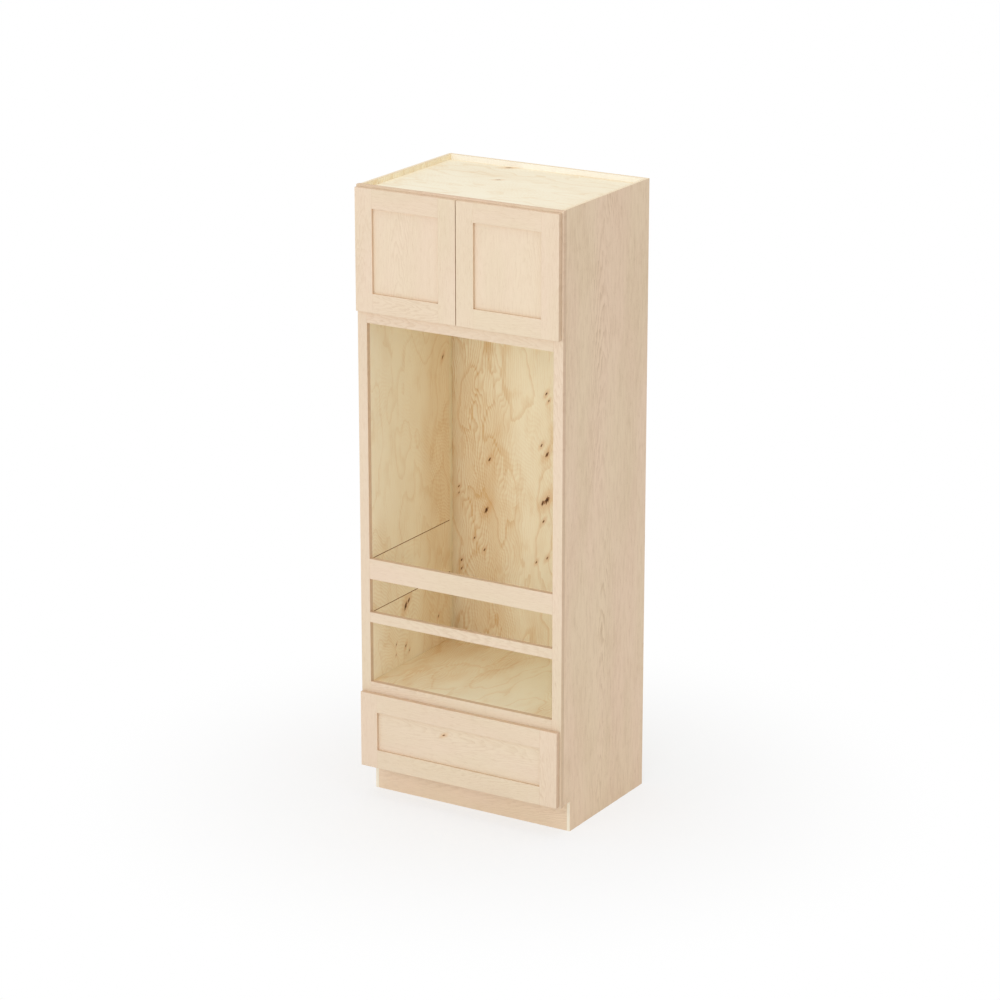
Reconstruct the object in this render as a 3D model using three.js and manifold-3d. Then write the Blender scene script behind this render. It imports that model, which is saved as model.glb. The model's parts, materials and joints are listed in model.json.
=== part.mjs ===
// Tall oven housing unit, as a three.js scene graph in millimetres, +Z up, front facing -Y.
//
// A plywood carcass stands behind a hardwood face frame. From the floor up the frame holds a deep
// drawer, a low opening, a narrow opening, the oven opening and a cupboard with two overlay doors.
// The doors hang on concealed hinges, each an arm on the frame, a cup in the door and a link between
// them. The drawer runs on two side slides, each of three telescoping members.
import * as THREE from "three";
import { mergeVertices } from "three/addons/utils/BufferGeometryUtils.js";
import Module from "manifold-3d";

// ---- Driving dimensions (millimetres; the inch size beside each is the trade size) ----

// The whole unit
const unitWidth = 838.2; // 33 in, across the face frame
const unitDepth = 609.6; // 24 in, face frame front to the back of the carcass

// Face frame, from the floor up: the heights of its rails and openings
const toeHeight = 114.3; // 4 1/2 in
const bottomRailHeight = 38.1; // 1 1/2 in
const drawerOpeningHeight = 222.25; // 8 3/4 in
const drawerRailHeight = 69.85; // 2 3/4 in
const lowOpeningHeight = 228.6; // 9 in
const middleRailHeight = 38.1; // 1 1/2 in
const slotOpeningHeight = 127; // 5 in
const ovenRailHeight = 76.2; // 3 in
const ovenOpeningHeight = 876.3; // 34 1/2 in
const cupboardRailHeight = 76.2; // 3 in
const cupboardOpeningHeight = 381; // 15 in
const topRailHeight = 38.1; // 1 1/2 in
const stileWidth = 38.1; // 1 1/2 in
const frameThick = 19.05; // 3/4 in
const frameOverhang = 6.35; // the frame stands past each side panel

// Carcass boards
const sideThick = 12.7;
const backThick = 12.7;
const topThick = 12.7;
const topRecess = 19.05; // the top panel lies below the edges round it
const cupboardFloorThick = 19.05;
const deckThick = 19.05;
const baseThick = 12.7;
const toeBoardThick = 12.7;
const toeRecess = 76.2; // 3 in, frame front to toe board

// Liner boards that bring the cavity walls flush with the stiles
const rearChase = 49.2; // open space left between the liners and the back panel
const middleLinerHeight = 203.2; // 8 in
const seamDrop = 3.2; // upper liner seam below the oven rail's top edge
const linerJoint = 0.6; // open joint between two stacked liners

// Doors and drawer front, framed round a flat panel
const frontThick = 19.05; // 3/4 in
const frontOverlay = 31.75; // 1 1/4 in, over the frame on every side
const frontMemberWidth = 69.85; // 2 3/4 in, stiles and rails
const panelThick = 6.35; // 1/4 in
const panelSetback = 9.5; // front face to panel face
const panelGrooveDepth = 9.5;
const doorMeetingGap = 3.2; // between the two doors
const bumperThick = 1.6; // doors and drawer front rest this far off the frame
const jointFit = 0.3; // clearance of a tongue or panel in its groove, all round

// Drawer box
const boxHeight = 165.1; // 6 1/2 in
const boxLift = 19.05; // box above the bottom rail's top edge
const boxBoardThick = 12.7;
const boxBottomThick = 6.35;
const boxBottomLift = 12.7; // drawer bottom above the box's lower edge
const boxGrooveDepth = 6.35;
const boxRearSpace = 65; // box to back panel

// Drawer slides
const slideThick = 12.7; // cavity wall to box side
const slideHeight = 45;
const slideLift = 60; // middle of the slide above the box's lower edge
const slideSetback = 3; // slide behind the frame's front face
const slideSheet = 1.2;
const slideFit = 0.5; // running clearance between members

// Concealed hinges. Their plan is set out from the stile's inner edge and the door's back face
const hingeInset = 76.2; // 3 in, end of the door to the middle of the hinge
const cupDiameter = 35;
const cupDepth = 11.5;
const cupSheet = 1.2;
const cupToEdge = 10.25; // cup centre to the stile's inner edge
const cupFit = 0.3; // cup in its bore
const wingLength = 52;
const wingWidth = 20;
const cupPinToEdge = 20.75; // pin in the cup to the stile's inner edge
const cupPinDepth = 4.05; // that pin below the door's back face
const armPinDepth = 4.5; // pin on the arm below the door's back face
const pinRadius = 1.5;
const pinFit = 0.3; // link eye round its pin
const eyeWall = 1.4;
const linkHeight = 10;
const linkSheet = 2.6;
const linkBow = 2.3; // the link bows this far, to pass round the cup's rim
const linkBowStart = 7.6; // from the arm pin
const linkBowEnd = 14.6; // from the arm pin
const earFit = 0.4; // between the link and the ears beside it
const earThick = 2;
const earRadius = 2.9;
const armSheet = 2.4;
const armHeight = 44;
const armDepth = 16.5;
const armSetback = 1; // arm plate behind the frame's front face
const webToPin = 3.7; // the arm's web clears the link's eye

// Segments in a full turn of a round face
const roundSteps = 40;

// Making of the solids
const cutterPast = 1; // a cutter reaches this far past what it cuts
const weldWithin = 1e-5; // corners closer than this are one corner

// ---- Sizes that follow ----

const openingHalf = unitWidth / 2 - stileWidth;
const sideOuter = unitWidth / 2 - frameOverhang;
const sideInner = sideOuter - sideThick;
const backFace = unitDepth - backThick;

const bottomRailTop = toeHeight + bottomRailHeight;
const drawerRailBottom = bottomRailTop + drawerOpeningHeight;
const deckTop = drawerRailBottom + drawerRailHeight;
const middleRailBottom = deckTop + lowOpeningHeight;
const middleRailTop = middleRailBottom + middleRailHeight;
const ovenRailBottom = middleRailTop + slotOpeningHeight;
const ovenRailTop = ovenRailBottom + ovenRailHeight;
const cupboardRailBottom = ovenRailTop + ovenOpeningHeight;
const cupboardFloorTop = cupboardRailBottom + cupboardRailHeight;
const topRailBottom = cupboardFloorTop + cupboardOpeningHeight;
const unitHeight = topRailBottom + topRailHeight;

const frontBack = -bumperThick;
const frontFace = frontBack - frontThick;

// ---- Materials ----

const finish = (color, roughness, metalness = 0) => ({ color, roughness, metalness });
const solidMaple = finish(0xe8d5bc, 0.62);
const veneeredPly = finish(0xdcc2a6, 0.64);
const rotaryPly = finish(0xe6d4b0, 0.66);
const drawerPly = finish(0xead9b8, 0.6);
const zincSteel = finish(0xb9bcc0, 0.34, 0.9);
const nickelSteel = finish(0xc7c6c2, 0.28, 0.95);

// ---- Solids ----

const wasm = await Module();
wasm.setup();

// A closed geometry as a solid that can be joined and cut
function solid(geometry) {
  geometry.deleteAttribute("normal");
  geometry.deleteAttribute("uv");
  const merged = mergeVertices(geometry, weldWithin);
  const vertProperties = new Float32Array(merged.attributes.position.array);
  const triVerts = new Uint32Array(merged.index.array);
  return new wasm.Manifold(new wasm.Mesh({ numProp: 3, vertProperties, triVerts }));
}

// A named mesh of a solid
function piece(name, shape, look) {
  const { vertProperties, triVerts } = shape.getMesh();
  const geometry = new THREE.BufferGeometry();
  geometry.setAttribute("position", new THREE.BufferAttribute(vertProperties, 3));
  geometry.setIndex(new THREE.BufferAttribute(triVerts, 1));
  const mesh = new THREE.Mesh(geometry, new THREE.MeshStandardMaterial(look));
  mesh.name = name;
  return mesh;
}

// A box between two limits along each axis, given in either order
function block(xs, ys, zs) {
  const geometry = new THREE.BoxGeometry(1, 1, 1);
  const corners = geometry.attributes.position;
  const pick = (limits, at) => (at > 0 ? Math.max(...limits) : Math.min(...limits));
  for (let i = 0; i < corners.count; i += 1) {
    const x = pick(xs, corners.getX(i));
    const y = pick(ys, corners.getY(i));
    const z = pick(zs, corners.getZ(i));
    corners.setXYZ(i, x, y, z);
  }
  return solid(geometry);
}

// A plan outline ([x, y] points) raised from one height to another
function prism(outline, low, high) {
  const shape = new THREE.Shape(outline.map(([x, y]) => new THREE.Vector2(x, y)));
  const geometry = new THREE.ExtrudeGeometry(shape, { depth: high - low, bevelEnabled: false });
  geometry.translate(0, 0, low);
  return solid(geometry);
}

// An upright pin, or the cutter for its hole
function pin([x, y], radius, low, high) {
  const geometry = new THREE.CylinderGeometry(radius, radius, high - low, roundSteps);
  geometry.rotateX(Math.PI / 2);
  geometry.translate(x, y, (low + high) / 2);
  return solid(geometry);
}

// A round bar in plan from one point to another, as wide as twice the radius
function bar([ax, ay], [bx, by], radius, low, high) {
  const heading = Math.atan2(by - ay, bx - ax);
  const outline = [];
  const steps = roundSteps / 2;
  for (let i = 0; i <= steps; i += 1) {
    const angle = heading + Math.PI / 2 + (Math.PI * i) / steps;
    outline.push([ax + radius * Math.cos(angle), ay + radius * Math.sin(angle)]);
  }
  for (let i = 0; i <= steps; i += 1) {
    const angle = heading - Math.PI / 2 + (Math.PI * i) / steps;
    outline.push([bx + radius * Math.cos(angle), by + radius * Math.sin(angle)]);
  }
  return prism(outline, low, high);
}

// ---- Carcass ----

function carcass() {
  const group = new THREE.Group();
  const inside = [-sideInner, sideInner];
  const frameToBack = [frameThick, backFace];
  const baseTop = bottomRailTop;
  const baseUnder = baseTop - baseThick;

  for (const [name, side] of [["left", -1], ["right", 1]]) {
    const across = [side * sideInner, side * sideOuter];
    const board = block(across, [frameThick, unitDepth], [0, unitHeight]);
    const notchAcross = [side * (sideInner - cutterPast), side * (sideOuter + cutterPast)];
    const notch = block(notchAcross, [0, toeRecess], [-cutterPast, toeHeight]);
    group.add(piece(`${name}_side_panel`, board.subtract(notch), veneeredPly));
  }

  const back = block(inside, [backFace, unitDepth], [baseUnder, unitHeight]);
  group.add(piece("back_panel", back, rotaryPly));

  const topFace = unitHeight - topRecess;
  group.add(piece("top_panel", block(inside, frameToBack, [topFace - topThick, topFace]), rotaryPly));

  const cupboardFloorUnder = cupboardFloorTop - cupboardFloorThick;
  const cupboardFloor = block(inside, frameToBack, [cupboardFloorUnder, cupboardFloorTop]);
  group.add(piece("cupboard_floor", cupboardFloor, rotaryPly));

  const deck = block([-openingHalf, openingHalf], frameToBack, [deckTop - deckThick, deckTop]);
  group.add(piece("oven_deck", deck, rotaryPly));

  group.add(piece("base_panel", block(inside, frameToBack, [baseUnder, baseTop]), rotaryPly));

  const toeBoard = block(inside, [toeRecess, toeRecess + toeBoardThick], [0, baseUnder]);
  group.add(piece("toe_board", toeBoard, veneeredPly));

  // Three liner boards a side, stacked from the base panel up to the cupboard floor
  const highSeam = ovenRailTop - seamDrop;
  const lowSeam = highSeam - middleLinerHeight;
  const liners = [
    ["lower", baseTop, lowSeam - linerJoint],
    ["middle", lowSeam, highSeam - linerJoint],
    ["upper", highSeam, cupboardFloorUnder],
  ];
  for (const [name, side] of [["left", -1], ["right", 1]]) {
    for (const [level, low, high] of liners) {
      const across = [side * openingHalf, side * sideInner];
      const board = block(across, [frameThick, backFace - rearChase], [low, high]);
      group.add(piece(`${name}_liner_${level}`, board, rotaryPly));
    }
  }
  return group;
}

// ---- Face frame ----

function faceFrame() {
  const group = new THREE.Group();
  const through = [0, frameThick];
  for (const [name, side] of [["left", -1], ["right", 1]]) {
    const across = [side * openingHalf, (side * unitWidth) / 2];
    group.add(piece(`${name}_stile`, block(across, through, [toeHeight, unitHeight]), solidMaple));
  }
  const rails = [
    ["bottom_rail", toeHeight, bottomRailTop],
    ["drawer_rail", drawerRailBottom, deckTop],
    ["middle_rail", middleRailBottom, middleRailTop],
    ["oven_rail", ovenRailBottom, ovenRailTop],
    ["cupboard_rail", cupboardRailBottom, cupboardFloorTop],
    ["top_rail", topRailBottom, unitHeight],
  ];
  for (const [name, low, high] of rails) {
    const rail = block([-openingHalf, openingHalf], through, [low, high]);
    group.add(piece(name, rail, solidMaple));
  }
  return group;
}

// ---- Framed fronts: two stiles, two rails with stub tongues, and a flat panel in their grooves ----

// Returns the five solids of a front between two limits across and two limits up
function framedFront([xLow, xHigh], [zLow, zHigh]) {
  const through = [frontFace, frontBack];
  const panelY = [frontFace + panelSetback, frontFace + panelSetback + panelThick];
  const grooveY = [panelY[0] - jointFit, panelY[1] + jointFit];
  const tongue = panelGrooveDepth - jointFit;
  const innerX = [xLow + frontMemberWidth, xHigh - frontMemberWidth];
  const innerZ = [zLow + frontMemberWidth, zHigh - frontMemberWidth];
  const tongueX = [innerX[0] - tongue, innerX[1] + tongue];
  const tongueZ = [innerZ[0] - tongue, innerZ[1] + tongue];

  const grooveX = [innerX[0] - panelGrooveDepth, innerX[1] + panelGrooveDepth];
  const grooveZ = [innerZ[0] - panelGrooveDepth, innerZ[1] + panelGrooveDepth];
  const upGroove = block(grooveX, grooveY, [zLow - cutterPast, zHigh + cutterPast]);
  const acrossGroove = block([xLow - cutterPast, xHigh + cutterPast], grooveY, grooveZ);

  const rail = (zs) => {
    const body = block(innerX, through, zs);
    return body.add(block(tongueX, panelY, zs)).subtract(acrossGroove);
  };
  return {
    lowStile: block([xLow, innerX[0]], through, [zLow, zHigh]).subtract(upGroove),
    highStile: block([innerX[1], xHigh], through, [zLow, zHigh]).subtract(upGroove),
    bottomRail: rail([zLow, innerZ[0]]),
    topRail: rail([innerZ[1], zHigh]),
    panel: block(tongueX, panelY, tongueZ),
  };
}

// ---- Doors ----

const doorBottom = cupboardFloorTop - frontOverlay;
const doorTop = topRailBottom + frontOverlay;
const hingeHeights = { upper: doorTop - hingeInset, lower: doorBottom + hingeInset };

// Across the unit, from the stile's inner edge towards its outer edge
const fromEdge = (side, distance) => side * (openingHalf + distance);

// A hinge cup's outer form, or with a clearance its bore in the door
function cupForm(side, height, clearance = 0) {
  const radius = cupDiameter / 2 + clearance;
  const depth = cupDepth + clearance;
  const geometry = new THREE.CylinderGeometry(radius, radius, depth, roundSteps);
  geometry.translate(fromEdge(side, cupToEdge), frontBack - depth / 2, height);
  return solid(geometry);
}

function door(name, side) {
  const group = new THREE.Group();
  const across = [(side * doorMeetingGap) / 2, fromEdge(side, frontOverlay)].sort((a, b) => a - b);
  const parts = framedFront(across, [doorBottom, doorTop]);
  let hingeStile = side < 0 ? parts.lowStile : parts.highStile;
  const lockStile = side < 0 ? parts.highStile : parts.lowStile;
  for (const height of Object.values(hingeHeights)) {
    hingeStile = hingeStile.subtract(cupForm(side, height, cupFit));
  }
  group.add(piece(`${name}_door_hinge_stile`, hingeStile, solidMaple));
  group.add(piece(`${name}_door_lock_stile`, lockStile, solidMaple));
  group.add(piece(`${name}_door_bottom_rail`, parts.bottomRail, solidMaple));
  group.add(piece(`${name}_door_top_rail`, parts.topRail, solidMaple));
  group.add(piece(`${name}_door_panel`, parts.panel, veneeredPly));
  return group;
}

// ---- Hinges ----

// Arm, link and cup of one hinge, closed, round the height z = 0
function hinge(name, side) {
  const group = new THREE.Group();
  const edge = (distance) => fromEdge(side, distance);
  const armPin = [edge(0), frontBack - armPinDepth];
  const cupPin = [edge(cupPinToEdge), frontBack - cupPinDepth];
  const linkHalf = linkHeight / 2;
  const earLow = linkHalf + earFit;
  const earHigh = earLow + earThick;
  const eye = pinRadius + pinFit + eyeWall;

  // Arm: a plate screwed to the stile's inner edge, a web past the frame and two ears with a pin
  const webFront = armPin[1] + webToPin;
  const plate = block([edge(0), edge(-armSheet)], [armSetback, armSetback + armDepth],
    [-armHeight / 2, armHeight / 2]);
  const web = block([edge(0), edge(-armSheet)], [webFront, armSetback + armSheet], [-earHigh, earHigh]);
  let arm = plate.add(web).add(pin(armPin, pinRadius, -earHigh, earHigh));
  for (const [low, high] of [[-earHigh, -earLow], [earLow, earHigh]]) {
    arm = arm.add(pin(armPin, earRadius, low, high));
    arm = arm.add(block([edge(0), edge(-armSheet)], [armPin[1], webFront + armSheet], [low, high]));
  }
  group.add(piece(`${name}_hinge_arm`, arm, nickelSteel));

  // Link: an eye at each pin, joined by a strip that bows towards the bottom of the cup
  const length = Math.hypot(cupPin[0] - armPin[0], cupPin[1] - armPin[1]);
  const along = [(cupPin[0] - armPin[0]) / length, (cupPin[1] - armPin[1]) / length];
  const bowed = (distance) => [
    armPin[0] + along[0] * distance + along[1] * side * linkBow,
    armPin[1] + along[1] * distance - along[0] * side * linkBow,
  ];
  const path = [armPin, bowed(linkBowStart), bowed(linkBowEnd), cupPin];
  let link = pin(armPin, eye, -linkHalf, linkHalf).add(pin(cupPin, eye, -linkHalf, linkHalf));
  for (let i = 0; i + 1 < path.length; i += 1) {
    link = link.add(bar(path[i], path[i + 1], linkSheet / 2, -linkHalf, linkHalf));
  }
  for (const centre of [armPin, cupPin]) {
    const boreEnd = linkHalf + cutterPast;
    link = link.subtract(pin(centre, pinRadius + pinFit, -boreEnd, boreEnd));
  }
  group.add(piece(`${name}_hinge_link`, link, nickelSteel));

  // Cup: a drawn shell with two wings on the door's back, two ears and a pin. Its rim is cut down
  // on the side of the door's edge, where the link passes when the door stands open
  const radius = cupDiameter / 2;
  const cupFloor = frontBack - cupDepth;
  const rim = frontBack + cupSheet;
  const profile = [
    [0, cupFloor],
    [radius, cupFloor],
    [radius, rim],
    [radius - cupSheet, rim],
    [radius - cupSheet, cupFloor + cupSheet],
    [0, cupFloor + cupSheet],
  ];
  const turned = new THREE.LatheGeometry(profile.map(([r, y]) => new THREE.Vector2(r, y)), roundSteps);
  turned.translate(edge(cupToEdge), 0, 0);
  let cup = solid(turned);
  const mouth = new THREE.CylinderGeometry(radius - cupSheet, radius - cupSheet, cupDepth, roundSteps);
  mouth.translate(edge(cupToEdge), frontBack, 0);
  const wings = block([edge(cupToEdge - wingWidth / 2), edge(cupToEdge + wingWidth / 2)],
    [frontBack, rim], [-wingLength / 2, wingLength / 2]);
  cup = cup.add(wings.subtract(solid(mouth)));
  const relief = block([edge(cupPinToEdge), edge(cupToEdge + radius + cutterPast)],
    [frontBack, rim + cutterPast], [-radius, radius]);
  cup = cup.subtract(relief).add(pin(cupPin, pinRadius, -earHigh, earHigh));
  const earFoot = [cupPin[0], cupFloor + earRadius + cupSheet / 2];
  for (const [low, high] of [[-earHigh, -earLow], [earLow, earHigh]]) {
    cup = cup.add(bar(cupPin, earFoot, earRadius, low, high));
  }
  group.add(piece(`${name}_hinge_cup`, cup, nickelSteel));
  return group;
}

// ---- Drawer ----

const boxBottom = bottomRailTop + boxLift;
const boxHalf = openingHalf - slideThick;
const boxBack = backFace - boxRearSpace;

function drawer() {
  const group = new THREE.Group();
  const front = framedFront(
    [fromEdge(-1, frontOverlay), fromEdge(1, frontOverlay)],
    [bottomRailTop - frontOverlay, drawerRailBottom + frontOverlay],
  );
  group.add(piece("drawer_front_left_stile", front.lowStile, solidMaple));
  group.add(piece("drawer_front_right_stile", front.highStile, solidMaple));
  group.add(piece("drawer_front_bottom_rail", front.bottomRail, solidMaple));
  group.add(piece("drawer_front_top_rail", front.topRail, solidMaple));
  group.add(piece("drawer_front_panel", front.panel, veneeredPly));

  const up = [boxBottom, boxBottom + boxHeight];
  const boxInner = boxHalf - boxBoardThick;
  const bottomZ = [boxBottom + boxBottomLift, boxBottom + boxBottomLift + boxBottomThick];
  const groove = block(
    [-boxInner - boxGrooveDepth, boxInner + boxGrooveDepth],
    [frontBack + boxBoardThick - boxGrooveDepth, boxBack - boxBoardThick + boxGrooveDepth],
    [bottomZ[0] - jointFit, bottomZ[1] + jointFit],
  );
  for (const [name, side] of [["left", -1], ["right", 1]]) {
    const board = block([side * boxInner, side * boxHalf], [frontBack, boxBack], up);
    group.add(piece(`drawer_box_${name}_side`, board.subtract(groove), drawerPly));
  }
  const ends = [
    ["front", [frontBack, frontBack + boxBoardThick]],
    ["back", [boxBack - boxBoardThick, boxBack]],
  ];
  for (const [name, ys] of ends) {
    const board = block([-boxInner, boxInner], ys, up);
    group.add(piece(`drawer_box_${name}`, board.subtract(groove), drawerPly));
  }
  const tongue = boxGrooveDepth - jointFit;
  const bottom = block(
    [-boxInner - tongue, boxInner + tongue],
    [frontBack + boxBoardThick - tongue, boxBack - boxBoardThick + tongue],
    bottomZ,
  );
  group.add(piece("drawer_box_bottom", bottom, drawerPly));
  return group;
}

// ---- Drawer slides: three channels, one inside the other ----

function slide(name, side) {
  const group = new THREE.Group();
  const centre = boxBottom + slideLift;

  // A channel whose web lies at one distance in from the cavity wall and whose lips reach another
  const channel = (web, reach, half) => {
    const inward = Math.sign(reach - web);
    const ys = [slideSetback, boxBack];
    const x = (distance) => side * (openingHalf - distance);
    const outer = block([x(web), x(reach)], ys, [centre - half, centre + half]);
    const hollow = block([x(web + inward * slideSheet), x(reach + inward * cutterPast)],
      [slideSetback - cutterPast, boxBack + cutterPast],
      [centre - half + slideSheet, centre + half - slideSheet]);
    return outer.subtract(hollow);
  };
  const step = slideSheet + slideFit;
  const half = slideHeight / 2;
  const lips = slideThick - step;
  group.add(piece(`${name}_slide_cabinet_member`, channel(0, lips, half), zincSteel));
  group.add(piece(`${name}_slide_middle_member`, channel(step, lips, half - step), zincSteel));
  const drawerMember = channel(slideThick, 2 * step, half - 2 * step);
  group.add(piece(`${name}_slide_drawer_member`, drawerMember, zincSteel));
  return group;
}

// ---- Assembly ----

const unit = new THREE.Group();
unit.add(carcass(), faceFrame(), drawer());
for (const [name, side] of [["left", -1], ["right", 1]]) {
  unit.add(door(name, side), slide(name, side));
  for (const [level, height] of Object.entries(hingeHeights)) {
    const group = hinge(`${name}_${level}`, side);
    group.position.z = height;
    unit.add(group);
  }
}

// The origin is on the floor, in the middle of the unit's whole width and depth
unit.position.y = -(unitDepth + frontFace) / 2;

export default unit;
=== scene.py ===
# %% [markdown]
# # A tall oven housing unit, finished in Blender
#
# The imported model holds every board, hinge and slide of this cabinet at its real size and place.
# It is loaded first, and nothing in it is moved. What follows gives the solids their looks: eased
# edges, wood figure that runs along each board, plies on the cut edges, and the small fasteners.

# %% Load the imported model
import json
import math
import random

import bmesh
import bpy
from mathutils import Matrix, Vector


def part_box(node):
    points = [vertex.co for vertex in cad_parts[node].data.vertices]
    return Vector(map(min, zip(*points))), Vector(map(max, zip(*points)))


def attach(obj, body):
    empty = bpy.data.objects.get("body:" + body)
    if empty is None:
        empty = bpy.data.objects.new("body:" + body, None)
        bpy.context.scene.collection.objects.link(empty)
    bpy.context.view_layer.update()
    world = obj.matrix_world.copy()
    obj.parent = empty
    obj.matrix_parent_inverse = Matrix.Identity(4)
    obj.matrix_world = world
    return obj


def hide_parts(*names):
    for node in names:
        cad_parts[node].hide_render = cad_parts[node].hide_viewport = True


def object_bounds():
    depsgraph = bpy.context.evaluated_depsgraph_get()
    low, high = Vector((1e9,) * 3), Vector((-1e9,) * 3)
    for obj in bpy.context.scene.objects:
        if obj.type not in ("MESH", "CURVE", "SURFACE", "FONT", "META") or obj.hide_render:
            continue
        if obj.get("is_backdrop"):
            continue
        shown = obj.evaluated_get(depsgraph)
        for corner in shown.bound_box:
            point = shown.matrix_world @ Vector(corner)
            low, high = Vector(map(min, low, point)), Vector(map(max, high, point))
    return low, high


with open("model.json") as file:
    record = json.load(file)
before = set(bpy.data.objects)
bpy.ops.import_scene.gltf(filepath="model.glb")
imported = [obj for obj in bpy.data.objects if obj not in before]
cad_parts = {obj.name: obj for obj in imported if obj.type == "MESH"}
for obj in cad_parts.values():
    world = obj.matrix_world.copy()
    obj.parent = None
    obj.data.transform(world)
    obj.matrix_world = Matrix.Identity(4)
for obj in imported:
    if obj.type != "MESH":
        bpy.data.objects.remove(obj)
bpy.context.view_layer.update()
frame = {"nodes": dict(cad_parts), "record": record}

MM = 0.001
X, Y, Z = 0, 1, 2


def place_object(name, data):
    """Puts a mesh, lamp or camera in the scene and returns its object."""
    thing = bpy.data.objects.new(name, data)
    bpy.context.scene.collection.objects.link(thing)
    return thing


bodies = frame["record"]["behaviour"]["bodies"]
body_of = {node: body for body, nodes in bodies.items() for node in nodes}

# %% [markdown]
# ## The camera
#
# The photograph keeps every upright edge upright, as a lens does that is shifted down by most of
# the picture's height. Such a shift would stay with the camera in every other view and push the
# unit out of the picture, so a plain tilted camera stands in for it. Its place, tilt and focal
# length are the ones that bring the corners of the unit nearest to where the photograph has them.

# %% Put the camera at the photograph's viewing angle
VIEW_AZIMUTH = math.radians(31.1)
VIEW_ELEVATION = math.radians(17.48)
VIEW_DISTANCE = 12.962
LENS_MM = 129.81
SENSOR_MM = 36.0
AIM_HEIGHT = 1.1185
AIM_ASIDE = -0.0091


def put_camera():
    flat = math.cos(VIEW_ELEVATION)
    back = Vector((math.sin(VIEW_AZIMUTH) * flat, -math.cos(VIEW_AZIMUTH) * flat, math.sin(VIEW_ELEVATION)))
    aside = Vector((math.cos(VIEW_AZIMUTH), math.sin(VIEW_AZIMUTH), 0.0))
    aim = aside * AIM_ASIDE + Vector((0.0, 0.0, AIM_HEIGHT))
    camera = place_object("camera", bpy.data.cameras.new("camera"))
    camera.data.lens = LENS_MM
    camera.data.sensor_width = SENSOR_MM
    camera.location = aim + back * VIEW_DISTANCE
    camera.rotation_mode = "QUATERNION"
    camera.rotation_quaternion = (-back).to_track_quat("-Z", "Y")
    bpy.context.scene.camera = camera
    return camera


camera = put_camera()
bpy.context.scene.view_settings.view_transform = "Standard"
print("camera at", [round(v, 3) for v in camera.location])

# %% [markdown]
# ## Node trees as expressions
#
# A node tree is quicker to read as arithmetic than as boxes and links. `Value` wraps one output
# socket, and its operators add Math nodes. `Nodes.node` adds any other node: its settings are set
# first, because they can change which sockets there are, and then its sockets are filled or linked.

# %% Shader values with operators
class Value:
    """One output socket, which adds a Math node when it is used in arithmetic."""

    def __init__(self, nodes, socket):
        self.nodes = nodes
        self.socket = socket

    def math(self, operation, *others):
        return self.nodes.math(operation, self, *others)

    def __add__(self, other):
        return self.math("ADD", other)

    __radd__ = __add__

    def __mul__(self, other):
        return self.math("MULTIPLY", other)

    __rmul__ = __mul__

    def __sub__(self, other):
        return self.math("SUBTRACT", other)

    def __rsub__(self, other):
        return self.nodes.math("SUBTRACT", other, self)

    def __truediv__(self, other):
        return self.math("DIVIDE", other)


class Nodes:
    """A node tree that is filled by calls."""

    def __init__(self, tree):
        self.tree = tree

    def node(self, kind, settings=None, sockets=None, out=0):
        node = self.tree.nodes.new(kind)
        for key, value in (settings or {}).items():
            setattr(node, key, value)
        for key, value in (sockets or {}).items():
            for each in value if isinstance(value, list) else [value]:
                if isinstance(each, Value):
                    self.tree.links.new(each.socket, node.inputs[key])
                else:
                    node.inputs[key].default_value = each
        return Value(self, node.outputs[out]) if node.outputs else node

    def math(self, operation, *values):
        return self.node("ShaderNodeMath", {"operation": operation}, dict(enumerate(values)))

    def vector(self, operation, *values, out=0):
        return self.node("ShaderNodeVectorMath", {"operation": operation}, dict(enumerate(values)), out)

    def mix(self, share, first, second, blend="MIX"):
        settings = {"data_type": "RGBA", "blend_type": blend}
        return self.node("ShaderNodeMix", settings, {0: share, 6: first, 7: second}, out=2)

    def rise(self, value, low, high):
        """0 below low, 1 above high and a smooth step between, or a fall if high is the lower one."""
        settings = {"interpolation_type": "SMOOTHSTEP"}
        return self.node("ShaderNodeMapRange", settings, {0: value, 1: low, 2: high, 3: 0.0, 4: 1.0})

    def noise(self, place, per_metre, detail=2.0, roughness=0.5):
        """Noise about 0, from -0.5 to 0.5, with its own number of lumps per metre along each axis."""
        sockets = {"Vector": self.vector("MULTIPLY", place, per_metre), "Scale": 1.0}
        sockets.update({"Detail": detail, "Roughness": roughness})
        return self.node("ShaderNodeTexNoise", None, sockets) - 0.5

    def seen(self):
        """1 where the camera sees a surface, straight on or in a gloss or glass, and 0 for other light."""
        path = self.node("ShaderNodeLightPath").socket.node
        rays = [Value(self, path.outputs[f"Is {kind} Ray"]) for kind in ("Camera", "Glossy", "Transmission")]
        return rays[0].math("MAXIMUM", rays[1]).math("MAXIMUM", rays[2])


def new_material(name):
    material = bpy.data.materials.new(name)
    material.use_nodes = True
    material.node_tree.nodes.clear()
    return material


def srgb(red, green, blue):
    """A colour as the eye names it, 0 to 255, as the linear colour that a shader takes."""
    share = [v / 255 for v in (red, green, blue)]
    return tuple(s / 12.92 if s <= 0.04045 else ((s + 0.055) / 1.055) ** 2.4 for s in share) + (1.0,)


print("expressions ready")

# %% [markdown]
# ## Light, floor and background
#
# The unit was photographed in an even white room. Most of the light is the room itself, a white
# world, and it leaves the far corners of the oven opening darker, as in the photograph. Of the large
# soft boxes in front, the left one makes the front brighter than the right side, and the other two
# reach the left wall and the deck inside. The last lights the top panel. The background is white
# only to the eye of the camera, so it adds no light of its own.

# %% Light the room
ROOM_LIGHT = 0.69
WHITE = (1.0, 1.0, 1.0, 1.0)
FRONT_AIM = (0.0, 0.0, 1.2)
FRONT_SIZE = 3.0
TOP_AIM = (0.0, 0.0, 2.0)
TOP_SIZE = 2.6


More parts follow.
